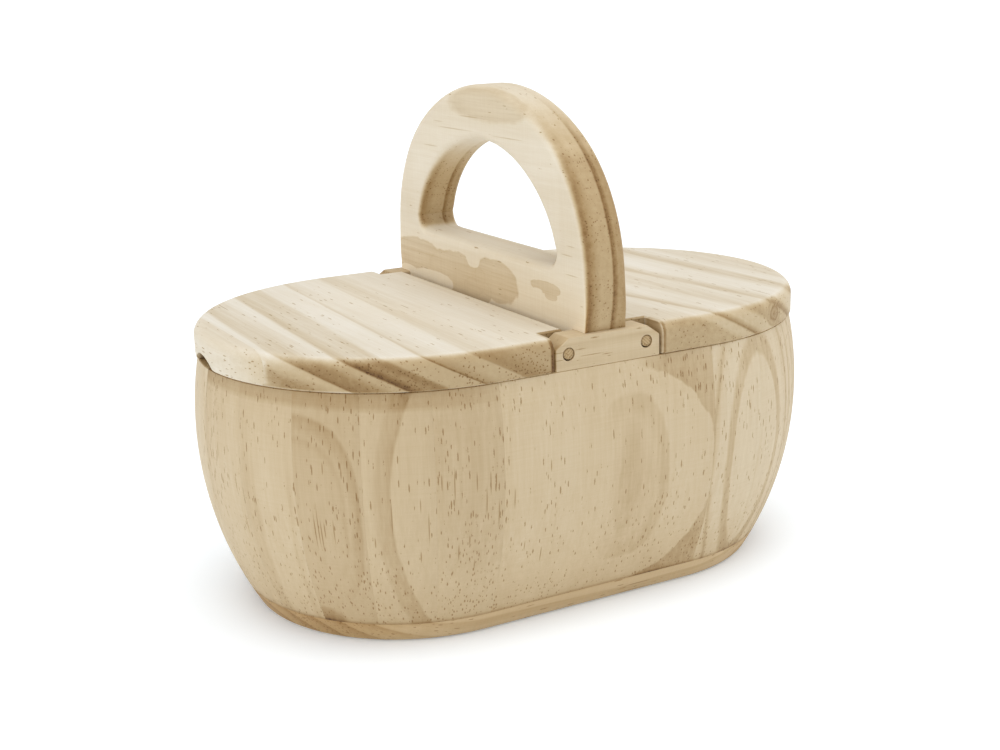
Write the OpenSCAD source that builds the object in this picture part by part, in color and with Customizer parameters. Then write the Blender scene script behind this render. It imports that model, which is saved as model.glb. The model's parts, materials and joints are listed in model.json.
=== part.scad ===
// Wooden sewing basket: a long round-ended tub of thick pine with two hinged
// half lids and a fixed arch handle across the middle.
// Origin: centre of the underside. +X runs along the tub, +Y to the back, +Z up.

/* [Tub] */
// Length of the tub at its rim
tub_l = 284; // [260:2:320]
// Width of the tub at its rim
tub_w = 180; // [170:2:200]
// Height of the rim
rim_h = 114; // [104:1:124]
// Thickness of the walls
wall_t = 12; // [11:0.5:12]
// Radius of the walls' curve, seen from the end
side_r = 158; // [140:2:190]
// Height at which the tub is widest
widest_z = 81; // [74:1:88]
// Thickness of the base board
base_t = 10; // [8:1:12]
// Rounding of the base board's lower edge
base_round = 4; // [2:0.5:5]

/* [Lids] */
// Thickness of the lids
lid_t = 14; // [13:0.5:15]
// How far the lids' sides stand out past the rim
lid_proud = 1; // [0:0.25:2]
// Rounding of the lids' upper edge
lid_round = 5; // [3:0.5:6]
// Width of the gap between the two lids
lid_gap = 29.5; // [28:0.5:32]
// Width of the narrow strip glued on at each lid's tip
tip_w = 10.5; // [9:0.5:16]
// Radius of the finger scoop under each lid's tip
scoop_r = 20; // [18:1:26]
// Height of the finger scoop
scoop_h = 5.5; // [4.5:0.5:7]
// How far the finger scoop reaches in from the side
scoop_in = 9; // [8:0.5:9.5]
// How far the finger scoop sits behind the tip
scoop_y = 5; // [0:1:8]

/* [Hinges] */
// Length of the two hinge blocks
block_l = 51; // [48:1:56]
// Height of the hinge blocks
block_h = 13.5; // [13:0.5:14.5]
// Length of the slope at the hinge blocks' upper corners
slope_l = 6.5; // [6:0.25:7]
// Height of the slope at the hinge blocks' upper corners
slope_h = 4.5; // [4:0.25:5.5]
// Distance between the two hinge pins of a block
pin_pitch = 38; // [37:0.5:40]
// Diameter of the hinge pins
pin_d = 5; // [4:0.5:6]
// Play between a hinge pin and its hole, all round
pin_play = 0.09; // [0.05:0.01:0.1]
// How far a hinge pin is glued into its lid
pin_grip = 18; // [12:1:24]
// Gap between a lid and the hinge blocks
hinge_gap = 0.8; // [0.6:0.1:1]

/* [Handle] */
// Thickness of the handle
handle_t = 20; // [18:0.5:21]
// Height of the handle above the hinge blocks
handle_h = 96; // [92:1:110]
// Width of the handle at its widest
handle_w = 181; // [178:1:184]
// Radius of the handle's shoulders
shoulder_r = 70; // [60:1:71]
// Height of the handle's widest point above the hinge blocks
shoulder_z = 20; // [14:1:20]
// Width of the hand hole
hole_w = 128; // [110:1:130]
// Height of the hand hole
hole_h = 47.5; // [40:0.5:50]
// Fullness of the hand hole's curve: 2 for an oval, less for a more pointed one
hole_curve = 1.85; // [1.7:0.05:2.2]
// Height of the hand hole's sill above the hinge blocks
hole_z = 24; // [22:1:30]
// Rounding of the hand hole's lower corners
hole_round = 7; // [4:1:10]

/* [Fixing dowels] */
// Diameter of the dowel through each foot of the handle
foot_dowel_d = 5; // [4:0.5:5]
// Diameter of the two dowels under each hinge block
block_dowel_d = 5; // [4:0.5:6]
// Distance between the two dowels under a hinge block
block_dowel_pitch = 22; // [18:1:24]
// Depth of the dowels in the wall
dowel_in_wall = 10; // [8:1:12]

/* [Hidden] */
$fn = 96;

glue = 0.02;                                // glue line round a dowel
end_r = tub_w / 2;                          // the round ends' radius at the rim
end_x = tub_l / 2 - end_r;                  // where the straight walls stop
curve_r0 = end_r - sqrt(side_r * side_r - pow(rim_h - widest_z, 2));
block_t = wall_t;                           // the blocks are as deep as the walls
block_in = end_r - block_t;                 // the blocks' inner face
block_top = rim_h + block_h;
pin_z = rim_h + block_h / 2;
notch_x = block_l / 2 + hinge_gap;          // the lids' cut-outs round the blocks
notch_y = block_in - hinge_gap;
lid_r = end_r + lid_proud;
tip_x = tub_l / 2 + lid_proud - tip_w;      // the joint before a lid's tip strip
dowel_y = end_r - wall_t / 2;
stave_deg = 180 / 10;                       // ten staves make a round end
far = tub_l + tub_w;                        // longer than anything it cuts

// Radius of the tub's outer face at a height
function outer_r(z) = curve_r0 + sqrt(side_r * side_r - pow(z - widest_z, 2));
// A far point on the joint line between two staves, seen from the round end's axis
function joint_line(i) = far * [sin(i * stave_deg), -cos(i * stave_deg)];
// Points along an arc
function arc(cx, cy, r, from, to, steps) =
    [for (i = [0:steps]) let (a = from + (to - from) * i / steps) [cx + r * cos(a), cy + r * sin(a)]];

// ---- Tub ----

// Section through a wall: x is the distance from the end's axis
module wall_section() {
    intersection() {
        difference() {
            translate([curve_r0, widest_z]) circle(r = side_r);
            translate([curve_r0, widest_z]) circle(r = side_r - wall_t);
        }
        translate([end_r / 3, base_t]) square([end_r, rim_h - base_t]);
    }
}

// Half section through the base board
module base_section() {
    inner = side_r - base_round;
    round_x = curve_r0 + sqrt(inner * inner - pow(widest_z - base_round, 2));
    tangent = asin((base_round - widest_z) / inner);
    polygon(concat(
        [[0, 0]],
        arc(round_x, base_round, base_round, -90, tangent, 8),
        [[outer_r(base_t), base_t], [0, base_t]]
    ));
}

// A section swept round one end of the tub, on the +X side
module round_end() {
    translate([end_x, 0, 0])
        rotate([0, 0, -90])
            rotate_extrude(angle = 180) children();
}

// A section swept along the back of the tub between two places
module straight(from, to) {
    translate([from, 0, 0])
        rotate([90, 0, 90])
            linear_extrude(height = to - from) children();
}

module base_board() {
    color("burlywood") {
        union() {
            round_end() base_section();
            mirror([1, 0, 0]) round_end() base_section();
            straight(-end_x, end_x) {
                union() {
                    base_section();
                    mirror([1, 0]) base_section();
                }
            }
        }
    }
}

module rear_wall() {
    color("wheat") {
        difference() {
            straight(-end_x, end_x) wall_section();
            for (x = [-block_dowel_pitch / 2, block_dowel_pitch / 2]) {
                dowel_hole(x, block_dowel_d, rim_h - dowel_in_wall);
            }
            dowel_hole(0, foot_dowel_d, rim_h - dowel_in_wall);
        }
    }
}

module front_wall() {
    mirror([0, 1, 0]) rear_wall();
}

// One stave of the right-hand round end, counted from the front
module stave(i) {
    color("wheat") {
        intersection() {
            round_end() wall_section();
            translate([end_x, 0, -1])
                linear_extrude(height = rim_h + 2)
                    polygon([[0, 0], joint_line(i - 1), joint_line(i)]);
        }
    }
}

// ---- Hinge blocks, handle and their dowels ----

// A hole for an upright dowel in the back wall, block or foot
module dowel_hole(x, d, z_from) {
    translate([x, dowel_y, z_from]) cylinder(d = d + 2 * glue, h = far);
}

module rear_hinge_block() {
    color("wheat") {
        difference() {
            translate([0, end_r, rim_h])
                rotate([90, 0, 0])
                    linear_extrude(height = block_t)
                        polygon([
                            [-block_l / 2, 0], [block_l / 2, 0],
                            [block_l / 2, block_h - slope_h], [block_l / 2 - slope_l, block_h],
                            [slope_l - block_l / 2, block_h], [-block_l / 2, block_h - slope_h]
                        ]);
            for (x = [-pin_pitch / 2, pin_pitch / 2]) {
                translate([x, end_r + 1, pin_z])
                    rotate([90, 0, 0]) cylinder(d = pin_d + 2 * pin_play, h = block_t + 2);
            }
            block_dowel_holes();
            dowel_hole(0, foot_dowel_d, rim_h - 1);
        }
    }
}

module front_hinge_block() {
    mirror([0, 1, 0]) rear_hinge_block();
}

// Blind holes in the underside of the back block
module block_dowel_holes() {
    for (x = [-block_dowel_pitch / 2, block_dowel_pitch / 2]) {
        translate([x, dowel_y, rim_h - 1])
            cylinder(d = block_dowel_d + 2 * glue, h = 1 + block_h / 2);
    }
}

// Outline of the handle's arch, standing on the hinge blocks
module arch_outline() {
    shoulder_x = handle_w / 2 - shoulder_r;
    rise = handle_h - shoulder_z;
    top_r = (shoulder_x * shoulder_x + rise * rise - shoulder_r * shoulder_r)
        / (2 * (rise - shoulder_r));
    meet = atan2(shoulder_z - handle_h + top_r, shoulder_x);
    foot = -asin(shoulder_z / shoulder_r);
    polygon(concat(
        arc(shoulder_x, shoulder_z, shoulder_r, foot, meet, 16),
        arc(0, handle_h - top_r, top_r, meet, 180 - meet, 16),
        arc(-shoulder_x, shoulder_z, shoulder_r, 180 - meet, 180 - foot, 16)
    ));
}

// Bends an oval's coordinate into the hand hole's curve
function fuller(part) = sign(part) * pow(abs(part), 2 / hole_curve);

// Half oval hand hole with a flat sill and rounded lower corners
module hand_hole() {
    corner = hole_w / 2 - hole_round;
    polygon(concat(
        [for (a = [12:6:168]) [hole_w / 2 * fuller(cos(a)), hole_z + hole_h * fuller(sin(a))]],
        arc(-corner, hole_z + hole_round, hole_round, 180, 270, 5),
        arc(corner, hole_z + hole_round, hole_round, 270, 360, 5)
    ));
}

module handle() {
    color("wheat") {
        difference() {
            translate([-handle_t / 2, 0, block_top])
                rotate([90, 0, 90])
                    linear_extrude(height = handle_t) {
                        difference() {
                            union() {
                                arch_outline();
                                translate([-block_in, -block_h]) square([2 * block_in, block_h + 1]);
                            }
                            hand_hole();
                        }
                    }
            for (side = [0, 1]) {
                mirror([0, side, 0])
                    translate([0, dowel_y, rim_h])
                        cylinder(d = foot_dowel_d + 2 * glue, h = block_h + foot_dowel_up());
            }
        }
    }
}

// How far the foot dowels reach up into the handle
function foot_dowel_up() = hole_z - 8;

module rear_foot_dowel() {
    color("tan")
        translate([0, dowel_y, rim_h - dowel_in_wall])
            cylinder(d = foot_dowel_d, h = dowel_in_wall + block_h + foot_dowel_up());
}

module front_foot_dowel() {
    mirror([0, 1, 0]) rear_foot_dowel();
}

module rear_right_block_dowel() {
    color("tan")
        translate([block_dowel_pitch / 2, dowel_y, rim_h - dowel_in_wall])
            cylinder(d = block_dowel_d, h = dowel_in_wall + block_h / 2);
}

module front_right_block_dowel() {
    mirror([0, 1, 0]) rear_right_block_dowel();
}

// ---- Lids ----

// Half section through a lid, x measured from the end's axis
module lid_section() {
    polygon(concat(
        [[0, 0], [end_r, 0], [lid_r, 1]],
        arc(lid_r - lid_round, lid_t - lid_round, lid_round, 0, 90, 8),
        [[0, lid_t]]
    ));
}

// The whole right-hand lid before it is cut into its two pieces
module lid_blank() {
    translate([0, 0, rim_h]) {
        round_end() lid_section();
        straight(lid_gap / 2, end_x) {
            union() {
                lid_section();
                mirror([1, 0]) lid_section();
            }
        }
    }
}

// Everything on the far side of the joint before the tip strip
module past_tip_joint() {
    translate([tip_x, -far / 2, rim_h - 1]) cube([far, far, lid_t + 2]);
}

module right_lid() {
    color("cornsilk") {
        difference() {
            lid_blank();
            past_tip_joint();
            for (side = [0, 1]) {
                mirror([0, side, 0]) {
                    translate([0, notch_y, rim_h - 1]) cube([notch_x, far, lid_t + 2]);
                    translate([pin_pitch / 2, notch_y + 1, pin_z])
                        rotate([90, 0, 0]) cylinder(d = pin_d + 2 * glue, h = pin_grip + 1);
                }
            }
        }
    }
}

module right_lid_tip() {
    color("cornsilk") {
        difference() {
            intersection() {
                lid_blank();
                past_tip_joint();
            }
            translate([tub_l / 2 + lid_proud - scoop_in, scoop_y, rim_h + scoop_h - scoop_r])
                rotate([0, 90, 0]) cylinder(r = scoop_r, h = far);
        }
    }
}

module right_lid_rear_pin() {
    color("tan")
        translate([pin_pitch / 2, end_r - 0.3, pin_z])
            rotate([90, 0, 0]) cylinder(d = pin_d, h = block_t - 0.3 + hinge_gap + pin_grip);
}

module right_lid_front_pin() {
    mirror([0, 1, 0]) right_lid_rear_pin();
}

// ---- Output ----

base_board();
front_wall();
rear_wall();
mirror([1, 0, 0]) stave(1);  // left_stave_1
mirror([1, 0, 0]) stave(2);  // left_stave_2
mirror([1, 0, 0]) stave(3);  // left_stave_3
mirror([1, 0, 0]) stave(4);  // left_stave_4
mirror([1, 0, 0]) stave(5);  // left_stave_5
mirror([1, 0, 0]) stave(6);  // left_stave_6
mirror([1, 0, 0]) stave(7);  // left_stave_7
mirror([1, 0, 0]) stave(8);  // left_stave_8
mirror([1, 0, 0]) stave(9);  // left_stave_9
mirror([1, 0, 0]) stave(10);  // left_stave_10
stave(1);  // right_stave_1
stave(2);  // right_stave_2
stave(3);  // right_stave_3
stave(4);  // right_stave_4
stave(5);  // right_stave_5
stave(6);  // right_stave_6
stave(7);  // right_stave_7
stave(8);  // right_stave_8
stave(9);  // right_stave_9
stave(10);  // right_stave_10
front_hinge_block();
rear_hinge_block();
handle();
front_foot_dowel();
rear_foot_dowel();
mirror([1, 0, 0]) front_right_block_dowel();  // front_left_block_dowel
front_right_block_dowel();
mirror([1, 0, 0]) rear_right_block_dowel();  // rear_left_block_dowel
rear_right_block_dowel();
mirror([1, 0, 0]) right_lid();  // left_lid
mirror([1, 0, 0]) right_lid_tip();  // left_lid_tip
mirror([1, 0, 0]) right_lid_front_pin();  // left_lid_front_pin
mirror([1, 0, 0]) right_lid_rear_pin();  // left_lid_rear_pin
right_lid();
right_lid_tip();
right_lid_front_pin();
right_lid_rear_pin();
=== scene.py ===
"""Looks of the wooden sewing basket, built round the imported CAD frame.

Every wooden piece of the frame gets a detailed mesh with eased edges and drilled holes, and a
solid pine material whose growth rings, fibres and resin canals run through the piece. Sizes are
in millimetres and are scaled to metres when a mesh is made.
"""

import json
import math

import bmesh
import bpy
from mathutils import Matrix, Vector

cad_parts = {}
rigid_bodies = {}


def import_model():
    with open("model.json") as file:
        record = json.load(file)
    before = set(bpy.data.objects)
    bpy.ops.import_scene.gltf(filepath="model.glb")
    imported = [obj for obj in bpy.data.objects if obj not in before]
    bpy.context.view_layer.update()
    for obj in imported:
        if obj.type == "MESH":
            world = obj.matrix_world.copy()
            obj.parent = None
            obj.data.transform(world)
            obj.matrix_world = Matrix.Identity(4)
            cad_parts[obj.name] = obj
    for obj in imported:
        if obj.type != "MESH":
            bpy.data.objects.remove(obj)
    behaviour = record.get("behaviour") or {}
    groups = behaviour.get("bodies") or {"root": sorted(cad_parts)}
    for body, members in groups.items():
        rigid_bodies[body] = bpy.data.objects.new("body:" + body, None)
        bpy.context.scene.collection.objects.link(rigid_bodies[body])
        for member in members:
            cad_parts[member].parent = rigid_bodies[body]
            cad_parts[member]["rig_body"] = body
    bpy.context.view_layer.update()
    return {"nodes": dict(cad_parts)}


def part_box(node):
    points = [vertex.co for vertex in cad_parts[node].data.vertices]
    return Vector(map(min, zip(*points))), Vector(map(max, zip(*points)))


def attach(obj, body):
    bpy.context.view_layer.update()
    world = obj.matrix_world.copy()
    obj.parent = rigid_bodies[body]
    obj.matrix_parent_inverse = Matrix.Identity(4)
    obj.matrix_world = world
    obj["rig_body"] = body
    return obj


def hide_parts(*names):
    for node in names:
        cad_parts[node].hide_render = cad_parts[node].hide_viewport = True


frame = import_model()

MM = 0.001


def box_mm(node):
    """Lowest and highest corner of a CAD node, in millimetres."""
    low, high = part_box(node)
    return low / MM, high / MM


# ---- Sizes, from the frame where it says them ----

WALL_LOW, WALL_HIGH = box_mm("rear_wall")
BLOCK_LOW, BLOCK_HIGH = box_mm("rear_hinge_block")
HANDLE_HIGH = box_mm("handle")[1]
LID_LOW, LID_HIGH = box_mm("right_lid")
TIP_LOW, TIP_HIGH = box_mm("right_lid_tip")
PIN_LOW, PIN_HIGH = box_mm("right_lid_rear_pin")

END_X = WALL_HIGH.x                 # where the straight walls stop and the round ends start
BASE_T = WALL_LOW.z                 # thickness of the base board
RIM_Z = WALL_HIGH.z                 # height of the tub's rim
WIDEST_R = WALL_HIGH.y              # half the tub's width where it is widest
WIDEST_Z = 81.0                     # and the height of that place
SIDE_R = 158.0                      # radius of the walls' curve, seen from the end
CURVE_R0 = WIDEST_R - SIDE_R        # where that curve has its centre
WALL_T = 12.0
BASE_ROUND = 4.0                    # rounding of the base board's lower edge
STAVES = 10                         # in each round end
STAVE_ANGLE = math.pi / STAVES

RIM_R = BLOCK_HIGH.y                # half the tub's width at the rim
LID_R = TIP_HIGH.x - END_X
LID_TOP = LID_HIGH.z
LID_ROUND = 5.0                     # rounding of a lid's upper edge
LID_INNER_X = LID_LOW.x
TIP_X = TIP_LOW.x                   # where the board of a lid stops and its tip starts
HINGE_GAP = 0.8                     # between a lid and the hinge blocks
NOTCH_X = BLOCK_HIGH.x + HINGE_GAP
NOTCH_Y = BLOCK_LOW.y - HINGE_GAP
SCOOP_R = 20.0                      # finger scoop: radius,
SCOOP_TOP = 5.5                     # height over the rim,
SCOOP_Y = 5.0                       # place beside the middle
SCOOP_IN = 9.0                      # and reach in from the lid's end

BLOCK_TOP = BLOCK_HIGH.z
SLOPE_L = 6.5                       # sloped upper corners of the hinge blocks
SLOPE_H = 4.5
BLOCK_EASED = 0.55                  # their sanded edges
PIN_X = (PIN_LOW.x + PIN_HIGH.x) / 2
PIN_Z = (PIN_LOW.z + PIN_HIGH.z) / 2
PIN_D = PIN_HIGH.z - PIN_LOW.z
PIN_HOLE_D = PIN_D + 0.7            # worn a little wider than the pin
PIN_HOLE_SHIFT = 0.28               # the wear is on the side that the lid's weight pulls to

HANDLE_T = HANDLE_HIGH.x            # half the handle's thickness
HANDLE_Y = HANDLE_HIGH.y            # half its width
SHOULDER_R = 70.0                   # radius of its sides
SHOULDER_Z = BLOCK_TOP + 20.0       # height of its widest place
HOLE_W = 128.0                      # hand hole: width,
HOLE_H = 47.5                       # rise of its arch,
HOLE_CURVE = 1.85                   # the arch's shape (2 is an oval, less is more pointed),
HOLE_Z = BLOCK_TOP + 24.0           # height of its sill
HOLE_ROUND = 7.0                    # and rounding of the sill's corners
HOLE_EDGE_ROUND = 4.0               # rounding of the hole's edges
EDGE_ROUND = 4.5                    # rounding of the handle's outer edges
FOOT_ROUND = 1.4                    # and what is left of it at the feet
FOOT_FADE = 24.0                    # height over which it goes from one to the other
TONGUE_EASED = 0.25                 # and below them, between the blocks
EDGE_STEPS = 7                      # faces across such a rounding,
EDGE_MARGIN = 0.35                  # and the width of the flat strip beside it

DOWEL_PLAY = 0.04                   # how much wider a glued dowel's hole is than the dowel
GLUE_EDGE = 0.1                     # depth and width of the groove where two boards meet
GLUE_WIDTH = 0.25
EASED = 0.3                         # sanded corners


def outer_r(z):
    """Radius of the tub's outer face at a height."""
    return CURVE_R0 + math.sqrt(SIDE_R ** 2 - (z - WIDEST_Z) ** 2)


def inner_r(z):
    """Radius of the tub's inner face at a height."""
    return CURVE_R0 + math.sqrt((SIDE_R - WALL_T) ** 2 - (z - WIDEST_Z) ** 2)


def spread(start, stop, steps):
    """Evenly spaced numbers with both ends."""
    return [start + (stop - start) * i / steps for i in range(steps + 1)]


def arc(x, y, radius, start, stop, steps):
    """Evenly spaced points on an arc round x, y. Its angles are in degrees."""
    turns = [math.radians(angle) for angle in spread(start, stop, steps)]
    return [(x + radius * math.cos(turn), y + radius * math.sin(turn)) for turn in turns]


# ---- Mesh helpers ----

SHARP = math.radians(32)            # edges with a larger angle are shaded as corners


def add_object(name, data):
    """A new object in the scene."""
    made = bpy.data.objects.new(name, data)
    bpy.context.scene.collection.objects.link(made)
    return made


def finish_mesh(bm, name, material, body, replaced, mirror=(1, 1)):
    """Turns a bmesh in millimetres into a piece that rides on a body and stands for a CAD node."""
    bmesh.ops.remove_doubles(bm, verts=bm.verts, dist=0.002)
    bmesh.ops.dissolve_degenerate(bm, edges=bm.edges, dist=0.001)
    scale = Matrix.Diagonal((mirror[0] * MM, mirror[1] * MM, MM, 1))
    bmesh.ops.transform(bm, matrix=scale, verts=bm.verts)
    bmesh.ops.recalc_face_normals(bm, faces=bm.faces)
    for face in bm.faces:
        face.smooth = True
    for edge in bm.edges:
        edge.smooth = edge.calc_face_angle(0) < SHARP
    mesh = bpy.data.meshes.new(name)
    bm.to_mesh(mesh)
    bm.free()
    piece = add_object(name, mesh)
    mesh.materials.append(material)
    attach(piece, body)
    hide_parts(replaced)


def skin(bm, rows, closed=False):
    """Quads between neighbouring rows of points. A closed row joins its last point to its first."""
    made = [[bm.verts.new(p) for p in row] for row in rows]
    for lower, upper in zip(made, made[1:]):
        count = len(lower)
        for i in range(count if closed else count - 1):
            j = (i + 1) % count
            corners = []
            for vert in (lower[i], lower[j], upper[j], upper[i]):
                if all((vert.co - other.co).length > 1e-6 for other in corners):
                    corners.append(vert)
            if len(corners) > 2:
                bm.faces.new(corners)
    return made


def solid(rings):
    """A closed body: rings of points that are joined, with a face across each end."""
    bm = bmesh.new()
    made = skin(bm, rings, closed=True)
    bm.faces.new(made[0])
    bm.faces.new(made[-1])
    return bm


def drill(bm, centre, axis, diameter, length, facets=40):
    """Cuts a round hole that starts at centre and runs along axis."""
    cutter = bmesh.new()
    turn = Vector((0, 0, 1)).rotation_difference(Vector(axis)).to_matrix().to_4x4()
    place = Matrix.Translation(Vector(centre) + Vector(axis).normalized() * length / 2) @ turn
    bmesh.ops.create_cone(
        cutter, cap_ends=True, segments=facets, radius1=diameter / 2, radius2=diameter / 2,
        depth=length, matrix=place,
    )
    return cut_away(bm, cutter)


def cut_away(bm, cutter):
    """Returns bm less the cutter. Both are used up."""
    objects = []
    for part in (bm, cutter):
        bmesh.ops.remove_doubles(part, verts=part.verts, dist=0.0005)
        bmesh.ops.recalc_face_normals(part, faces=part.faces)
        mesh = bpy.data.meshes.new("work")
        part.to_mesh(mesh)
        part.free()
        objects.append(add_object("work", mesh))
    cut = objects[0].modifiers.new("cut", "BOOLEAN")
    cut.operation = "DIFFERENCE"
    cut.solver = "EXACT"
    cut.object = objects[1]
    result = bmesh.new()
    result.from_object(objects[0], bpy.context.evaluated_depsgraph_get())
    for work in objects:
        mesh = work.data
        bpy.data.objects.remove(work)
        bpy.data.meshes.remove(mesh)
    return result


# ---- Pine, as a solid material ----

class Wiring:
    """Short calls that add nodes to one material."""

    def __init__(self, tree):
        self.tree = tree

    def link(self, value, socket):
        if isinstance(value, bpy.types.NodeSocket):
            self.tree.links.new(value, socket)
        else:
            socket.default_value = value

    def math(self, operation, a, b=0.0, c=0.0, clamp=False):
        node = self.tree.nodes.new("ShaderNodeMath")
        node.operation = operation
        node.use_clamp = clamp
        for value, socket in zip((a, b, c), node.inputs):
            self.link(value, socket)
        return node.outputs[0]

    def vector(self, operation, a, b=(0, 0, 0)):
        node = self.tree.nodes.new("ShaderNodeVectorMath")
        node.operation = operation
        self.link(a, node.inputs[0])
        self.link(b, node.inputs[1])
        return node.outputs["Value" if operation in ("LENGTH", "DOT_PRODUCT") else "Vector"]

    def noise(self, place, detail=2.0, roughness=0.5):
        """Noise from about 0 to 1, one unit of place across."""
        node = self.tree.nodes.new("ShaderNodeTexNoise")
        self.link(place, node.inputs["Vector"])
        node.inputs["Scale"].default_value = 1.0
        node.inputs["Detail"].default_value = detail
        node.inputs["Roughness"].default_value = roughness
        return node.outputs["Fac"]

    def cells(self, place):
        """Distance to the nearest of scattered points, and that point's random colour."""
        node = self.tree.nodes.new("ShaderNodeTexVoronoi")
        self.link(place, node.inputs["Vector"])
        node.inputs["Scale"].default_value = 1.0
        parts = self.tree.nodes.new("ShaderNodeSeparateColor")
        self.tree.links.new(node.outputs["Color"], parts.inputs[0])
        return node.outputs["Distance"], parts.outputs[0], parts.outputs[1]

    def step(self, value, low, high, out_low=0.0, out_high=1.0):
        """Smooth step from low to high."""
        node = self.tree.nodes.new("ShaderNodeMapRange")
        node.interpolation_type = "SMOOTHSTEP"
        for number, socket in zip((value, low, high, out_low, out_high), node.inputs):
            self.link(number, socket)
        return node.outputs[0]

    def ramp(self, value, stops):
        """Grey or colour along a list of (place, colour) stops. Places may be in any unit."""
        first, last = stops[0][0], stops[-1][0]
        node = self.tree.nodes.new("ShaderNodeValToRGB")
        elements = node.color_ramp.elements
        while len(elements) < len(stops):
            elements.new(0.5)
        for element, (place, colour) in zip(elements, stops):
            element.position = (place - first) / (last - first)
            element.color = (*colour, 1) if isinstance(colour, tuple) else (colour, colour, colour, 1)
        self.link(self.math("DIVIDE", self.math("SUBTRACT", value, first), last - first), node.inputs[0])
        return node.outputs[0]

    def mix(self, share, a, b, blend="MIX"):
        node = self.tree.nodes.new("ShaderNodeMix")
        node.data_type = "RGBA"
        node.blend_type = blend
        node.clamp_factor = True
        self.link(share, node.inputs[0])
        self.link(a, node.inputs[6])
        self.link(b, node.inputs[7])
        return node.outputs[2]


GRAIN = {"X": Vector((1, 0, 0)), "Y": Vector((0, 1, 0)), "Z": Vector((0, 0, 1))}
# Colour of dry pine for a lightness, which is its green part: darker wood is also more yellow
TONES = [
    (0.02, (0.06, 0.02, 0.005)), (0.14, (0.245, 0.14, 0.052)), (0.26, (0.38, 0.26, 0.128)),
    (0.43, (0.55, 0.43, 0.268)), (0.56, (0.663, 0.56, 0.40)), (0.72, (0.79, 0.72, 0.595)),
    (0.85, (0.89, 0.85, 0.77)),
]

END_GRAIN_TINT = (1.0, 0.97, 0.9, 1.0)      # end grain is a little more yellow
BOARD_STEP = (37.0, 61.0, 23.0)             # how far apart in the noise two boards' seeds are


def stretched(across, along, axis):
    """Scale vector that is across to the grain one number and along it another."""
    return tuple(along if axis[i] else across for i in range(3))


def ring_distance(w, place, figure):
    """Distance in millimetres that a figure's rings are counted along.

    normal: flat bands across a direction; fan: such bands that spread out from a far apex.
    centre: rounds squeezed to ovals; power above 2 makes them squarer.
    """
    if "normal" in figure:
        distance = w.vector("DOT_PRODUCT", place, figure["normal"])
        if "fan" in figure:
            apex_u, apex_y, true_y = figure["fan"]
            reach = w.math("SUBTRACT", w.vector("DOT_PRODUCT", place, (0, 1, 0)), apex_y)
            spread_out = w.math("DIVIDE", w.math("SUBTRACT", distance, apex_u), reach)
            distance = w.math("MULTIPLY_ADD", spread_out, true_y - apex_y, apex_u)
        return distance
    offset = w.vector("MULTIPLY", w.vector("SUBTRACT", place, figure["centre"]), figure["squeeze"])
    if "power" not in figure:
        return w.vector("LENGTH", offset)
    power = figure["power"]
    parts = w.tree.nodes.new("ShaderNodeSeparateXYZ")
    w.link(w.vector("ABSOLUTE", offset), parts.inputs[0])
    total = w.math("POWER", parts.outputs[0], power)
    for output in parts.outputs[1:]:
        total = w.math("ADD", total, w.math("POWER", output, power))
    return w.math("POWER", total, 1 / power)


def ring_field(w, place, figure, end_grain):
    """Darkness of one figure.

    stops: (distance, darkness) pairs, repeated every period if there is one.
    wobble: (size, reach) pairs of noise that bend the rings.
    fades: (axis, start, end), where the figure comes in between two places along an axis.
    end_only: how much of the figure shows on end grain only.
    """
    distance = ring_distance(w, place, figure)
    for size, reach in figure.get("wobble", ()):
        noise = w.noise(w.vector("MULTIPLY", place, reach), 3.0, 0.55)
        distance = w.math("ADD", distance, w.math("MULTIPLY_ADD", noise, 2 * size, -size))
    if "period" in figure:
        distance = w.math("MODULO", distance, figure["period"])
    dark = w.ramp(distance, figure["stops"])
    for axis, start, end in figure.get("fades", ()):
        dark = w.math("MULTIPLY", dark, w.step(w.vector("DOT_PRODUCT", place, axis), start, end))
    if "end_only" in figure:
        share = figure["end_only"]
        dark = w.math("MULTIPLY", dark, w.math("MULTIPLY_ADD", end_grain, share, 1 - share))
    return dark


def unrolled(w, place):
    """Place on the tub's wall laid out flat: x is the way round from the middle of the front."""
    parts = w.tree.nodes.new("ShaderNodeSeparateXYZ")
    w.link(place, parts.inputs[0])
    x = parts.outputs[0]
    past = w.math("MAXIMUM", w.math("SUBTRACT", w.math("ABSOLUTE", x), END_X), 0.0)
    angle = w.math("ARCTAN2", past, w.math("ABSOLUTE", parts.outputs[1]))
    way = w.math("MULTIPLY_ADD", angle, RIM_R, w.math("MINIMUM", w.math("ABSOLUTE", x), END_X))
    joined = w.tree.nodes.new("ShaderNodeCombineXYZ")
    w.link(w.math("MULTIPLY", way, w.math("SIGN", x)), joined.inputs[0])
    w.link(parts.outputs[2], joined.inputs[2])
    return joined.outputs[0]


def flecks(w, place, axis, cell, length, size, share):
    """Short dark marks along the grain, 1 inside a mark, one to a cell of cell by length mm.

    size is a mark's radius as a part of its cell, and share the part of the cells that have one.
    """
    scaled = w.vector("MULTIPLY", place, stretched(1 / cell, 1 / length, axis))
    distance, chance, width = w.cells(scaled)
    edge = w.math("MULTIPLY", w.math("MULTIPLY_ADD", width, 1.1, 0.35), size)
    mark = w.step(distance, edge, w.math("MULTIPLY", edge, 0.6))
    return w.math("MULTIPLY", mark, w.math("LESS_THAN", chance, share))


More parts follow.
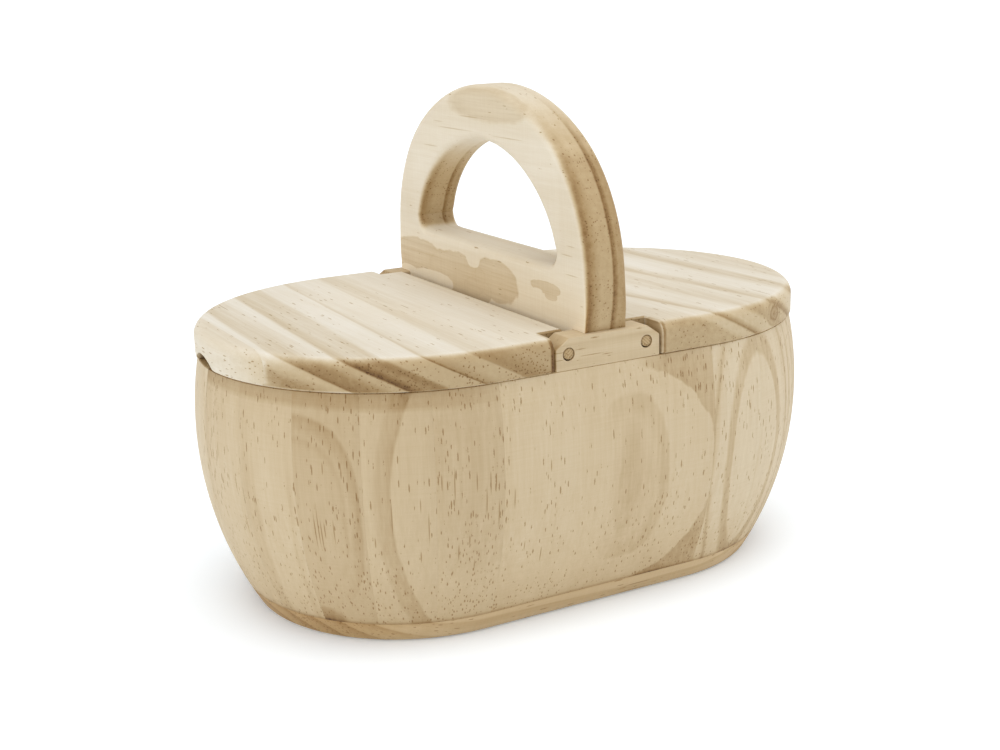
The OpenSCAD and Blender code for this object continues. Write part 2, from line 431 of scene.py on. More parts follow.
def pine(name, grain, figures, seed, level, plain=0.1, fleck=0.5, pale_wood_and_light=1.0, end_dark=0.25,
         end_depth=0.5, unroll=False):
    """A pine material.

    grain is the axis that the fibres follow, level the lightness of the palest wood, plain the
    darkness between rings, fleck how many small marks there are, and pale how much less yellow
    this piece is for its lightness. pale is partly the wood's own colour and partly painted light
    and shade: the lids and their tips, which face the top light, are made paler, and the base board,
    low in the walls' shade, more yellow. On end grain the wood is darker by end_dark and its rings
    show more by end_depth. With unroll, figures are placed on the tub's wall laid out flat.
    """
    material = bpy.data.materials.new(name)
    material.use_nodes = True
    tree = material.node_tree
    tree.nodes.clear()
    w = Wiring(tree)
    axis = GRAIN[grain]

    coordinates = tree.nodes.new("ShaderNodeTexCoord")
    here = w.vector("MULTIPLY", coordinates.outputs["Object"], (1 / MM,) * 3)
    moved = w.vector("ADD", here, tuple(part * seed for part in BOARD_STEP))
    facing = w.math("ABSOLUTE", w.vector("DOT_PRODUCT", coordinates.outputs["Normal"], axis))
    end_grain = w.step(facing, 0.2, 0.8)

    drawn_at = unrolled(w, here) if unroll else here
    # A figure adds growth rings, or by its key shade (1 or -1), lift, clear or mark something else
    # lift is painted light: it brightens the colour and keeps its hue
    rings, shade, own_marks, lift = plain, 0.0, 0.0, None
    for figure in figures:
        field = ring_field(w, drawn_at, figure, end_grain)
        if "shade" in figure:
            shade = w.math("MULTIPLY_ADD", field, figure["shade"], shade)
        elif "lift" in figure:
            lift = w.math("ADD", field, 1.0)
        elif "clear" in figure:
            rings = w.math("MULTIPLY", rings, w.math("SUBTRACT", 1.0, field))
        elif "mark" in figure:
            own_marks = w.math("MAXIMUM", own_marks, field)
        else:
            rings = w.math("MAXIMUM", rings, field)
    # Wide clouds, streaks and fibres along the grain, and ripples across it
    cloud = w.noise(w.vector("MULTIPLY", moved, stretched(0.045, 0.012, axis)), 3.0)
    streak = w.noise(w.vector("MULTIPLY", moved, stretched(0.5, 0.01, axis)), 4.0, 0.6)
    fibre = w.noise(w.vector("MULTIPLY", moved, stretched(2.6, 0.07, axis)), 3.0, 0.65)
    ripple = w.noise(w.vector("MULTIPLY", moved, stretched(0.04, 1.3, axis)), 3.0, 0.7)
    comb = w.math("MULTIPLY_ADD", streak, 0.45, 0.275)
    dark = w.math("MULTIPLY", rings, w.math("MULTIPLY_ADD", end_grain, end_depth, comb))
    dark = w.math("ADD", dark, shade)
    for noise, amount in ((cloud, 0.18), (streak, 0.17), (fibre, 0.13), (ripple, 0.12)):
        dark = w.math("ADD", dark, w.math("MULTIPLY_ADD", noise, amount, -amount / 2))

    # Small marks, more of them in some places, in dark rings and on end grain
    thick = w.noise(w.vector("MULTIPLY", moved, stretched(0.045, 0.025, axis)), 2.0)
    crowd = w.math("MULTIPLY", w.step(thick, 0.38, 0.6, 0.25, 1.0), w.step(rings, 0.0, 0.5, 0.7, 1.3))
    crowd = w.math("MULTIPLY", crowd, w.math("MULTIPLY_ADD", end_grain, 2.5 * fleck, fleck))
    rough = w.noise(w.vector("MULTIPLY", moved, (1.3, 1.3, 1.3)), 2.0)
    jagged = w.vector("ADD", moved, w.math("MULTIPLY", rough, 0.5))
    dot = w.math("MULTIPLY_ADD", end_grain, 0.06, 0.27)
    short = flecks(w, jagged, axis, 1.0, 7.5, dot, crowd)
    few = w.math("MULTIPLY", crowd, w.step(thick, 0.5, 0.62, 0.1, 0.9))
    long = flecks(w, moved, axis, 1.7, 60.0, 0.13, few)
    marks = w.math("MAXIMUM", w.math("MAXIMUM", short, long), own_marks)

    # From darkness to a lightness, and from that to the colour of pine
    value = w.math("MULTIPLY", w.math("SUBTRACT", 1.0, dark), level)
    value = w.math("MULTIPLY", value, w.math("MULTIPLY_ADD", end_grain, -end_dark, 1.0))
    value = w.math("MULTIPLY", value, w.math("MULTIPLY_ADD", marks, -0.5, 1.0))
    # The pale setting shifts the tones: partly the wood's own colour, partly painted light and shade
    stops = [(tone / pale_wood_and_light, tuple(part / pale_wood_and_light for part in colour)) for tone, colour in TONES]
    tint = w.mix(end_grain, (1, 1, 1, 1), END_GRAIN_TINT)
    colour = w.mix(1.0, w.ramp(value, stops), tint, "MULTIPLY")
    # Painted light, where a lift figure says so
    if lift:
        colour = w.vector("MULTIPLY", colour, lift)

    height = w.math("MULTIPLY_ADD", fibre, 0.5, w.math("MULTIPLY", ripple, 0.35))
    height = w.math("SUBTRACT", height, marks)
    bump = tree.nodes.new("ShaderNodeBump")
    bump.inputs["Strength"].default_value = 0.35
    bump.inputs["Distance"].default_value = 0.12 * MM
    w.link(height, bump.inputs["Height"])

    shader = tree.nodes.new("ShaderNodeBsdfPrincipled")
    w.link(colour, shader.inputs["Base Color"])
    w.link(w.math("MULTIPLY_ADD", fibre, 0.18, 0.52), shader.inputs["Roughness"])
    shader.inputs["IOR"].default_value = 1.45
    shader.inputs["Specular IOR Level"].default_value = 0.3
    w.link(bump.outputs["Normal"], shader.inputs["Normal"])
    output = tree.nodes.new("ShaderNodeOutputMaterial")
    w.link(shader.outputs[0], output.inputs["Surface"])
    return material


# ---- Figures of the boards that are seen best; the rest get quiet rings ----

def quiet_rings(centre, width, squeeze=(1, 1, 0.06), dark=0.42):
    """Growth rings of one width round a far pith: each darkens slowly and stops sharply."""
    stops = [(0.0, 0.05), (0.5 * width, 0.45 * dark), (0.9 * width, dark), (width, 0.05)]
    reach = tuple(0.012 if part > 0.5 else 0.006 for part in squeeze)
    return {"centre": centre, "squeeze": squeeze, "stops": stops, "period": width,
            "wobble": ((0.6 * width, reach),)}


def split(x, z, reach):
    """A short crack along a hinge block."""
    return {"centre": (x, 0, z), "squeeze": (1 / reach, 0, 4.5), "wobble": ((0.7, (0.4, 0, 0.1)),),
            "mark": True, "stops": [(0, .9), (0.6, .8), (1, 0), (1.5, 0)]}


def crack(way, z, reach):
    """A long thin crack up a wall."""
    return {"centre": (way, 0, z), "squeeze": (3.2, 0, 1 / reach), "wobble": ((0.45, (0.25, 0, 0.12)),),
            "mark": True, "stops": [(0, .9), (0.6, .7), (1, 0), (1.5, 0)]}


# Walls: x is the way round the tub from the middle of the front, z the height
EYE_WOBBLE = ((2.2, (0.03, 0.03, 0.03)), (0.9, (0.11, 0.11, 0.11)))
EDGE_WOBBLE = ((2.4, (0.08, 0.08, 0.08)), (1.2, (0.2, 0.2, 0.2)))
FINE_WOBBLE = ((1.2, (0.03, 0.03, 0.02)), (0.35, (0.4, 0.4, 0.06)))
SEAM_SHADE = {"normal": (0, 0, 1), "shade": 1, "stops": [(9.8, .35), (10.6, .22), (11.6, 0), (13, 0)]}
FRONT_WALL = [
    {"centre": (9, 0, 62), "squeeze": (1, 0, 0.51), "power": 2.5, "wobble": EYE_WOBBLE,
     "stops": [(0, .3), (8, .26), (13, .2), (16.5, .34), (19, .34), (20.4, .05), (22, 0), (30, 0)],
     "fades": (((1, 0, 0), -14, 9),)},
    {"centre": (9, 0, 62), "squeeze": (1, 0, 0.22), "wobble": EYE_WOBBLE,
     "stops": [(0, .5), (4, .4), (11, 0), (14, 0)]},
    {"centre": (11, 0, 60), "squeeze": (1, 0, 0.862), "wobble": EDGE_WOBBLE,
     "stops": [(0, 0), (42.5, 0), (43.6, .55), (50, .5), (56, .36), (66, .24)],
     "fades": (((1, 0, 0), 8, 26),)},
    {"normal": (1, 0, 0), "wobble": ((2.5, (0.03, 0.03, 0.015)),),
     "stops": [(-60, .26), (-50, .2), (-44, .12), (-38, 0), (0, 0)]},
    crack(-47.5, 65, 5), crack(-30.5, 76, 3), crack(-41.5, 42, 3), crack(-33, 36, 4), SEAM_SHADE,
]
LEFT_RIM_SHADE = {"normal": (0.02, 0, 1), "shade": 1, "wobble": ((0.5, (0.1, 0.1, 0.1)),),
                  "stops": [(70, 0), (90, .04), (104, .06), (106.6, .26), (114, .34)],
                  "fades": (((-1, 0, 0), 30, 100),)}
NESTED_RINGS = {
    "centre": (79, 0, 60), "squeeze": (1, 0, 0.35), "wobble": FINE_WOBBLE,
    "stops": [(0, .16), (6, .1), (12, .02), (15.4, .04), (16.4, .5), (18.8, .5), (20.4, .08),
              (24, .14), (26, .24), (27.2, .62), (28.8, .2), (31, .12), (33, .45), (34.4, .1),
              (38, .14), (41, .45), (43, .12), (47, .4), (50, .2)],
}
STAVES_SEEN = {
    "left_stave_1": [
        {"normal": (1, 0, 0), "stops": [(-81, .22), (-66, .26), (-50, .22)],
         "wobble": ((0.8, (0.02, 0.02, 0.01)),), "fades": (((0, 0, 1), 14, 50),)},
        crack(-73, 75, 9), crack(-60, 67, 8), crack(-58.3, 74, 6), crack(-64, 75, 5), crack(-67, 50, 3),
        crack(-54.6, 60, 8), crack(-78, 77, 4), crack(-64.5, 38, 3), crack(-71.5, 45, 4),
        LEFT_RIM_SHADE, SEAM_SHADE,
    ],
    "left_stave_2": [
        {"centre": (-60, 0, 66), "squeeze": (1, 0, 0.546), "wobble": FINE_WOBBLE,
         "stops": [(0, 0), (37.2, 0), (38.4, .5), (40, .42), (43.5, .34), (46, 0), (60, 0)],
         "fades": (((-1, 0, 0), 74, 86),)},
        crack(-97.8, 62, 9), crack(-87, 45, 3), crack(-83.5, 57, 8), crack(-105, 52, 3),
        crack(-86.5, 68, 4),
        LEFT_RIM_SHADE, SEAM_SHADE,
    ],
    "left_stave_3": [
        {"centre": (-138, 0, 60), "squeeze": (1, 0, 0.63), "power": 2.7, "wobble": FINE_WOBBLE,
         "stops": [(0, .1), (15, .12), (20, .16), (21.6, .3), (23.2, .14), (25, .32), (27.6, .5),
                   (29, 0), (40, 0)],
         "fades": (((0.6, 0, 1), -70, -10),)},
        crack(-129.6, 56, 10), crack(-128.1, 58, 11), crack(-126.9, 54, 9), crack(-121.5, 56, 7),
        crack(-125.4, 57, 4), crack(-116.5, 82, 3), crack(-124, 84, 3),
        {"centre": (-134, 0, 11), "squeeze": (1, 0, 1.6), "wobble": EYE_WOBBLE,
         "stops": [(0, .7), (8, .5), (13, 0), (16, 0)]},
        LEFT_RIM_SHADE, SEAM_SHADE,
    ],
    "left_stave_4": [
        {"normal": (1, 0, 0), "wobble": ((3, (0.02, 0.02, 0.02)),),
         "stops": [(-168, .2), (-158, .3), (-155, .12), (-142, .06), (-139.5, .26), (-136, .1)],
         "fades": (((0, 0, -1), -100, -70),)},
        LEFT_RIM_SHADE, SEAM_SHADE,
    ],
    "left_stave_5": [
        {"normal": (1, 0, -0.1), "wobble": ((3, (0.02, 0.02, 0.012)),),
         "stops": [(-205, .3), (-192, .12), (-180, .1), (-172, .2), (-168, .1)]},
        crack(-169, 70, 5), crack(-166.4, 53, 6), crack(-181, 82, 4),
        LEFT_RIM_SHADE, SEAM_SHADE,
    ],
    "right_stave_1": [NESTED_RINGS, SEAM_SHADE],
    "right_stave_2": [NESTED_RINGS, SEAM_SHADE],
    "right_stave_3": [NESTED_RINGS, SEAM_SHADE],
}
STAVE_LEVEL = 0.53
STAVE_LEVELS = {
    "left_stave_1": 0.46, "left_stave_2": 0.46, "left_stave_3": 0.416, "left_stave_4": 0.485,
    "left_stave_5": 0.49, "right_stave_1": 0.54, "right_stave_2": 0.54,
}

# Lids: the bands go down into the board at a slant, so they also cross its edge
BAND_WOBBLE = (0.35, (0.35, 0.02, 0.35))
# Painted shade on the lids at the notch beside the front hinge block: on the notch wall and a strip next
# to it
NOTCH_EDGE_SHADE = {"centre": (0, 0, 121), "squeeze": (1, 0, 0),
             "stops": [(0, .6), (27.8, .6), (28.6, .15), (30, 0), (40, 0)],
             "fades": (((0, -1, 0), 78, 80),)}
NOTCH_SHADE = {"centre": (0, 0, 0), "squeeze": (1, 0, 0), "shade": 1,
               "stops": [(0, .5), (NOTCH_X + 0.06, .5), (NOTCH_X + 0.25, 0), (100, 0)],
               "fades": (((0, -1, 0), 77, 79),)}
LEFT_LID = [
    {"normal": (1, -0.04, 1.8), "wobble": ((1.4, (0.02, 0.006, 0.02)), BAND_WOBBLE),
     "stops": [(70, .5), (88, .5), (93.5, .2), (98, .04), (101.2, .04), (102.4, .52), (106, .42),
               (111, .34), (117, .08), (120.6, .06), (122.2, .62), (125, .5), (129, .3), (133, .42),
               (136, .36), (138, .05), (150.6, .02), (151.4, .5), (153.2, .22), (160, .06),
               (168.8, .04), (170, .3), (174, .34), (180, .26), (187, .12), (196, .14), (203, .1),
               (206, .12), (209, .22), (216, .3), (222, .14)]},
    NOTCH_EDGE_SHADE, NOTCH_SHADE,
]
RIGHT_LID = [
    {"normal": (1, 0, 1.9), "fan": (399, -597, -40),
     "wobble": ((1.8, (0.016, 0.006, 0.02)), BAND_WOBBLE),
     "stops": [(274, .3), (279, .1), (285.7, .1), (287.7, .6), (290.2, .36), (294.2, .1),
               (304.2, .1), (308.7, .36), (315.2, .32), (319.2, .22), (324.2, .2), (326.7, .55),
               (329.7, .45), (334.2, .1), (339.2, 0), (346.2, .05), (350.2, .22), (353.2, .5),
               (356.7, .48), (360.2, .12), (364.2, .06), (368.2, .25), (376.2, .28), (380.2, .4),
               (386.2, .25)]},
    {"centre": (94, -84, 121), "squeeze": (1, 0.4, 1.1), "wobble": ((2.4, (0.12, 0.05, 0.12)),),
     "stops": [(0, .7), (2, .4), (3.5, .6), (5, .25), (6.5, .4), (8, 0), (12, 0)]},
    NOTCH_EDGE_SHADE, NOTCH_SHADE,
]

# Handle: stains and scratches on its left face, glued layers on its edges
CLOUD_WOBBLE = ((0.16, (0.05, 0.05, 0.06)), (0.12, (0.12, 0.16, 0.2)))
CLOUD = [(0, .44), (0.9, .47), (0.97, .53), (1.05, .02), (1.6, .02)]
SOFT_CLOUD = [(0, .3), (0.6, .34), (0.92, .42), (1.16, .04), (1.6, .02)]


def patch(y, z, reach_y, reach_z, stops=CLOUD):
    """An uneven stain on the handle's left face, reaching so far from its middle."""
    return {"centre": (-HANDLE_T, y, z), "squeeze": (0.2, 1 / reach_y, 1 / reach_z), "power": 2.4,
            "wobble": CLOUD_WOBBLE, "stops": stops}


def scratch(y, z, reach):
    """A thin dark line along the grain of the handle's left face."""
    return {"centre": (-HANDLE_T, y, z), "squeeze": (0.2, 1 / reach, 3.6), "mark": True,
            "wobble": ((0.5, (0.1, 0.06, 0.3)),), "stops": [(0, .6), (0.6, .45), (1, 0), (1.5, 0)]}


def bare(y, z, reach_y, reach_z):
    """A paler hole in such a stain."""
    hole = patch(y, z, reach_y, reach_z, [(0, 1), (0.97, 1), (1.03, 0), (1.6, 0)])
    hole["clear"] = True
    return hole


LEFT_FACE = (((-1, 0, 0), 8.6, 9.6),)
INSIDE_HOLE = (
    ((0, 1, 0), -72, -66), ((0, -1, 0), -72, -66), ((0, 0, 1), 152, 160), ((0, 0, -1), -205, -201),
)
HANDLE = [
    patch(66, 136.5, 26, 9.5), patch(26, 134.5, 30, 10), patch(-12, 137, 20, 9.5),
    patch(5, 130, 14, 6), bare(9, 145.5, 7, 5.5), bare(51, 128, 21, 4), bare(78, 127, 10, 4),
    patch(-57, 141.5, 12, 2.6), patch(-61, 138.5, 5, 1.8), bare(-50, 139, 4, 1.2),
    patch(-9.5, 215.5, 34, 7, SOFT_CLOUD),
    scratch(-27, 202, 17), scratch(25, 202.6, 19), scratch(48, 193, 9), scratch(8, 209, 11),
    scratch(-78, 150, 6), scratch(-74, 158, 5), scratch(-78, 162, 4), scratch(40, 205, 6),
    {"normal": (1, 0, 0), "wobble": ((0.5, (0.05, 0.012, 0.012)),), "end_only": 0.85,
     "stops": [(-10.3, .05), (-9.9, .1), (-9.6, .8), (-8.6, .9), (-6.6, .5), (-5, .34), (-3.4, .2),
               (1.8, .22), (2.6, .95), (3.8, .75), (5, .4), (8, .5), (9.8, .36), (10.3, .1)]},
    # Painted light on the left face just above the lids, where the lids and hinge blocks shade it: this
    # figure gives a slightly darker, more yellow tone, and the lift figure below brightens it
    {"normal": (0, 0, 1), "shade": 1, "fades": LEFT_FACE,
     "stops": [(114, .08), (128, .08), (136, .06), (152, 0), (230, 0)]},
    {"normal": (0, 0, 1), "lift": True, "fades": LEFT_FACE,
     "stops": [(114, .32), (127, .32), (132, .2), (142, .1), (156, 0), (230, 0)]},
    # Painted shade in the slots between the lids and the handle: the handle darker below the lids' top
    {"normal": (0, 0, 1), "shade": 1, "stops": [(114, .6), (124.7, .6), (125.0, 0), (230, 0)]},
    # Painted light on the inner faces of the hand hole
    {"normal": (1, 0, 0), "shade": -1, "fades": INSIDE_HOLE,
     "stops": [(-10.3, 0), (-9.3, .12), (9.3, .12), (10.3, 0)]},
]

# Hinge blocks: fine upright rings and the splits along the front one
BLOCK = [
    {"normal": (0, 0.6, 1), "wobble": ((1.6, (0.01, 0.1, 0.1)),),
     "stops": [(50, .3), (58, .1), (62, .3), (66, .12), (70, .36), (72, .1), (180, .3)]},
    split(-24, 121.7, 4), split(-13.5, 122, 3), split(-24, 118.6, 3), split(-8, 119, 7),
    split(-1, 118.3, 3),
]


# ---- Tub ----

def wall_mesh(columns, place):
    """Mesh of a piece of wall. place(column, radius, z) says where one of its points is."""
    heights = [BASE_T, BASE_T + GLUE_WIDTH] + spread(BASE_T, RIM_Z, 26)[1:-1] + [RIM_Z - EASED, RIM_Z]
    outer, inner = [], []
    for i, z in enumerate(heights):
        ease = GLUE_EDGE if i == 0 else EASED if i == len(heights) - 1 else 0.0
        row = []
        for j, column in enumerate(columns):
            groove = GLUE_EDGE if j in (0, len(columns) - 1) else 0.0
            row.append(place(column, outer_r(z) - max(ease, groove), z))
        outer.append(row)
        inner.append([place(column, inner_r(z) + (ease if i else 0.0), z) for column in columns])
    bm = bmesh.new()
    skin(bm, outer)
    skin(bm, inner)
    for column in (0, -1):
        skin(bm, [[row[column] for row in outer], [row[column] for row in inner]])
    for level in (0, -1):
        skin(bm, [outer[level], inner[level]])
    return bm


def straight_wall():
    """Mesh of the rear wall, before its dowel holes."""
    columns = [-END_X] + spread(GLUE_WIDTH - END_X, END_X - GLUE_WIDTH, 16) + [END_X]
    return wall_mesh(columns, lambda x, radius, z: (x, radius, z))


def stave(i):
    """Mesh of one stave of the right-hand round end, counted from 0 at the front."""
    start = i * STAVE_ANGLE - math.pi / 2
    groove = GLUE_WIDTH / WIDEST_R
    stop = start + STAVE_ANGLE
    return wall_mesh([start] + spread(start + groove, stop - groove, 10) + [stop], end_point)


def end_point(angle, radius, z):
    """A point at a radius and angle round the right-hand end's axis."""
    return END_X + radius * math.cos(angle), radius * math.sin(angle), z


def drill_for_dowel(bm, node, start, length):
    """Cuts the upright hole for a CAD dowel, from height start on."""
    low, high = box_mm(node)
    middle = (low + high) / 2
    return drill(bm, (middle.x, middle.y, start), (0, 0, 1), high.x - low.x + DOWEL_PLAY, length, 24)


def build_tub():
    """Straight walls with their dowel holes, staves and base board."""
    wall = {"front_wall": FRONT_WALL, "rear_wall": [quiet_rings((-30, 160, 60), 9)]}
    for seed, (name, figures) in enumerate(wall.items()):
        bm = straight_wall()
        for node in ("rear_left_block_dowel", "rear_foot_dowel", "rear_right_block_dowel"):
            bm = drill_for_dowel(bm, node, box_mm(node)[0].z, 20)
        front = name == "front_wall"
        side = -1 if front else 1
        material = pine("pine_" + name, "Z", figures, 1.3 + seed, level=0.487, fleck=0.85, pale_wood_and_light=0.96,
                        unroll=front)
        finish_mesh(bm, name, material, "basket", name, mirror=(1, side))

    for hand, side in (("left", -1), ("right", 1)):
        for i in range(STAVES):
            name = hand + "_stave_" + str(i + 1)
            build_stave(name, i, side)
    build_base()


def build_stave(name, i, side):
    """One stave with its own board's figure."""
    pith = (side * (150 + 23 * (i % 3)), -110 + 27 * i, 60)
    figures = STAVES_SEEN.get(name, [quiet_rings(pith, 6 + i % 4, (0.8, 1, 0.08), 0.3)])
    level = STAVE_LEVELS.get(name, STAVE_LEVEL)
    material = pine("pine_" + name, "Z", figures, 4.7 + 2.9 * i + side, level=level, fleck=1.1,
                    pale_wood_and_light=0.98, unroll=name in STAVES_SEEN)
    finish_mesh(stave(i), name, material, "basket", name, mirror=(side, 1))


def stadium(radius, z):
    """Closed outline of the tub's shape at a radius from the ends' axes."""
    end = arc(END_X, 0, radius, -90.0, 90.0, 72)
    return [(side * x, side * y, z) for side in (1, -1) for x, y in end]


def build_base():
    """Base board with its rounded lower edge, which runs smoothly into the walls' curve."""
    inner = SIDE_R - BASE_ROUND
    centre_r = CURVE_R0 + math.sqrt(inner ** 2 - (WIDEST_Z - BASE_ROUND) ** 2)
    tangent = math.degrees(math.asin((BASE_ROUND - WIDEST_Z) / inner))
    profile = [(centre_r - 6, 0.0), (centre_r - 0.5, 0.0)]
    profile += arc(centre_r, BASE_ROUND, BASE_ROUND, -90.0, tangent, 8)
    profile += [(outer_r(z), z) for z in spread(BASE_ROUND, BASE_T - GLUE_WIDTH, 4)[1:]]
    profile += [(outer_r(BASE_T) - GLUE_EDGE, BASE_T), (outer_r(BASE_T) - 2.5, BASE_T)]
    bm = solid([stadium(r, z) for r, z in profile])
    rings = quiet_rings((0, 15, -60), 8, (0.04, 1, 1))
    # More yellow for its lightness: partly painted shade, as the base sits low under the bulging walls
    material = pine("pine_base_board", "X", [rings], 3.1, level=0.45, pale_wood_and_light=0.8)
    finish_mesh(bm, "base_board", material, "basket", "base_board")


# ---- Hinge blocks, handle, dowels ----

def build_blocks():
    """Hinge blocks, each with its worn pin holes and the holes of the dowels through it."""
    outline = [
        (BLOCK_LOW.x, RIM_Z), (BLOCK_HIGH.x, RIM_Z),
        (BLOCK_HIGH.x, BLOCK_TOP - SLOPE_H), (BLOCK_HIGH.x - SLOPE_L, BLOCK_TOP),
        (BLOCK_LOW.x + SLOPE_L, BLOCK_TOP), (BLOCK_LOW.x, BLOCK_TOP - SLOPE_H),
    ]
    for seed, (name, side) in enumerate((("front_hinge_block", -1), ("rear_hinge_block", 1))):
        bm = solid([[(x, y, z) for x, z in outline] for y in (BLOCK_LOW.y, BLOCK_HIGH.y)])
        edges = [e for e in bm.edges if max(v.co.z for v in e.verts) > RIM_Z + 0.1]
        bmesh.ops.bevel(bm, geom=edges, offset=BLOCK_EASED, segments=3, affect="EDGES", profile=0.5)
        for x in (-PIN_X, PIN_X):
            centre = (x - PIN_HOLE_SHIFT, BLOCK_LOW.y - 2, PIN_Z - PIN_HOLE_SHIFT / 2)
            bm = drill(bm, centre, (0, 1, 0), PIN_HOLE_D, 20)
        for node in ("rear_left_block_dowel", "rear_right_block_dowel"):
            bm = drill_for_dowel(bm, node, RIM_Z - 2, box_mm(node)[1].z - RIM_Z + 2)
        bm = drill_for_dowel(bm, "rear_foot_dowel", RIM_Z - 2, 20)
        material = pine("pine_" + name, "X", BLOCK, 7.9 + 3 * seed, level=0.49, fleck=0.15, pale_wood_and_light=0.97)
        finish_mesh(bm, name, material, "basket", name, mirror=(1, side))


def dense_arch():
    """Outline of the handle as many points, counter-clockwise from the foot at the front."""
    side_y = HANDLE_Y - SHOULDER_R
    rise = HANDLE_HIGH.z - SHOULDER_Z
    top_r = (side_y ** 2 + rise ** 2 - SHOULDER_R ** 2) / (2 * (rise - SHOULDER_R))
    meet = math.degrees(math.atan2(top_r - rise, side_y))
    foot = -math.degrees(math.asin((SHOULDER_Z - BLOCK_TOP) / SHOULDER_R))
    points = arc(side_y, SHOULDER_Z, SHOULDER_R, foot, meet, 60)
    points += arc(0, HANDLE_HIGH.z - top_r, top_r, meet, 180 - meet, 60)
    points += arc(-side_y, SHOULDER_Z, SHOULDER_R, 180 - meet, 180 - foot, 60)
    tongue = BLOCK_LOW.y
    points += [(-tongue, BLOCK_TOP), (-tongue, RIM_Z), (tongue, RIM_Z), (tongue, BLOCK_TOP)]
    return [Vector(point) for point in points]


def dense_hole():
    """Outline of the hand hole as many points, counter-clockwise."""
    corner = HOLE_W / 2 - HOLE_ROUND
    points = []
    for angle in spread(12.0, 168.0, 90):
        turn = math.radians(angle)
        side = math.copysign(abs(math.cos(turn)) ** (2 / HOLE_CURVE), math.cos(turn))
        rise = math.sin(turn) ** (2 / HOLE_CURVE)
        points.append((HOLE_W / 2 * side, HOLE_Z + HOLE_H * rise))
    points += arc(-corner, HOLE_Z + HOLE_ROUND, HOLE_ROUND, 180.0, 270.0, 12)
    points += arc(corner, HOLE_Z + HOLE_ROUND, HOLE_ROUND, 270.0, 360.0, 12)
    return [Vector(point) for point in points]


def ray_hit(points, origin, angle):
    """Where a ray from origin leaves a closed outline that is seen whole from origin."""
    way = Vector((math.cos(angle), math.sin(angle)))
    for a, b in zip(points, points[1:] + points[:1]):
        edge = b - a
        cross = way.x * edge.y - way.y * edge.x
        if abs(cross) < 1e-9:
            continue
        gap = a - origin
        along = (gap.x * edge.y - gap.y * edge.x) / cross
        part = (gap.x * way.y - gap.y * way.x) / cross
        if along > 0 and -1e-7 <= part <= 1 + 1e-7:
            return origin + way * along
    raise ValueError("the outline isn't closed")


def inward(points):
    """Unit normals of a closed counter-clockwise outline, pointing into it."""
    normals = []
    for i, here in enumerate(points):
        run = (points[(i + 1) % len(points)] - here).normalized() + (here - points[i - 1]).normalized()
        normals.append(Vector((-run.y, run.x)).normalized())
    return normals


def handle_loops(points, normals, radius_of):
    """Rings of points from one broad face of the handle, over its rounded edge, to the other."""
    rings = []
    for k in [-1] + list(range(EDGE_STEPS + 1)):
        ring = []
        for p, n in zip(points, normals):
            r = radius_of(p)
            turn = math.radians(90.0 * max(k, 0) / EDGE_STEPS)
            q = p + n * (r * (1 - math.sin(turn)) + (EDGE_MARGIN if k < 0 else 0.0))
            ring.append((-HANDLE_T + r * (1 - math.cos(turn)), q.x, q.y))
        rings.append(ring)
    return rings + [[(-x, y, z) for x, y, z in ring] for ring in reversed(rings)]


def outer_round(point):
    """Rounding of the handle's outer edge, which gets sharper towards the feet."""
    if point.y < BLOCK_TOP + 0.01:
        return TONGUE_EASED
    fade = min(1.0, (point.y - BLOCK_TOP) / FOOT_FADE)
    return FOOT_ROUND + (EDGE_ROUND - FOOT_ROUND) * fade * fade * (3 - 2 * fade)


def build_handle():
    """Handle board: rays from the hand hole give its two outlines the same number of points."""
    origin = Vector((0.0, HOLE_Z + 14.0))
    outer_dense, hole_dense = dense_arch(), dense_hole()
    corners = [outer_dense[0]] + outer_dense[-5:]
    angles = {round(math.radians(a), 6) for a in spread(-179.0, 179.0, 179)}
    exact = [math.atan2(p.y - origin.y, p.x - origin.x) for p in corners]
    angles = sorted([a for a in angles if all(abs(a - e) > 0.012 for e in exact)] + exact)
    outer = [ray_hit(outer_dense, origin, a) for a in angles]
    hole = [ray_hit(hole_dense, origin, a) for a in angles]
    for i, a in enumerate(angles):
        for corner, e in zip(corners, exact):
            if a == e:
                outer[i] = corner
    into, out = inward(outer), [-n for n in inward(hole)]

    bm = bmesh.new()
    outer_rows = skin(bm, handle_loops(outer, into, outer_round), closed=True)
    hole_rows = skin(bm, handle_loops(hole, out, lambda point: HOLE_EDGE_ROUND), closed=True)
    for level in (0, -1):
        rim, lip = outer_rows[level], hole_rows[level]
        for i in range(len(rim)):
            j = (i + 1) % len(rim)
            bm.faces.new((rim[i], rim[j], lip[j], lip[i]))
    for node in ("rear_foot_dowel", "front_foot_dowel"):
        bm = drill_for_dowel(bm, node, RIM_Z - 1, box_mm(node)[1].z - RIM_Z + 1)
    material = pine("pine_handle", "Y", HANDLE, 5.3, level=0.64, plain=0.04, fleck=0.16,
                    end_dark=0.36, end_depth=0.25)
    finish_mesh(bm, "handle", material, "basket", "handle")


DOWEL_ENDS = ((0.0, 0.45), (0.06, 0.3), (0.35, 0.06), (0.7, 0.0))   # how far in, how much thinner
FLUTE_DEPTH = 0.12


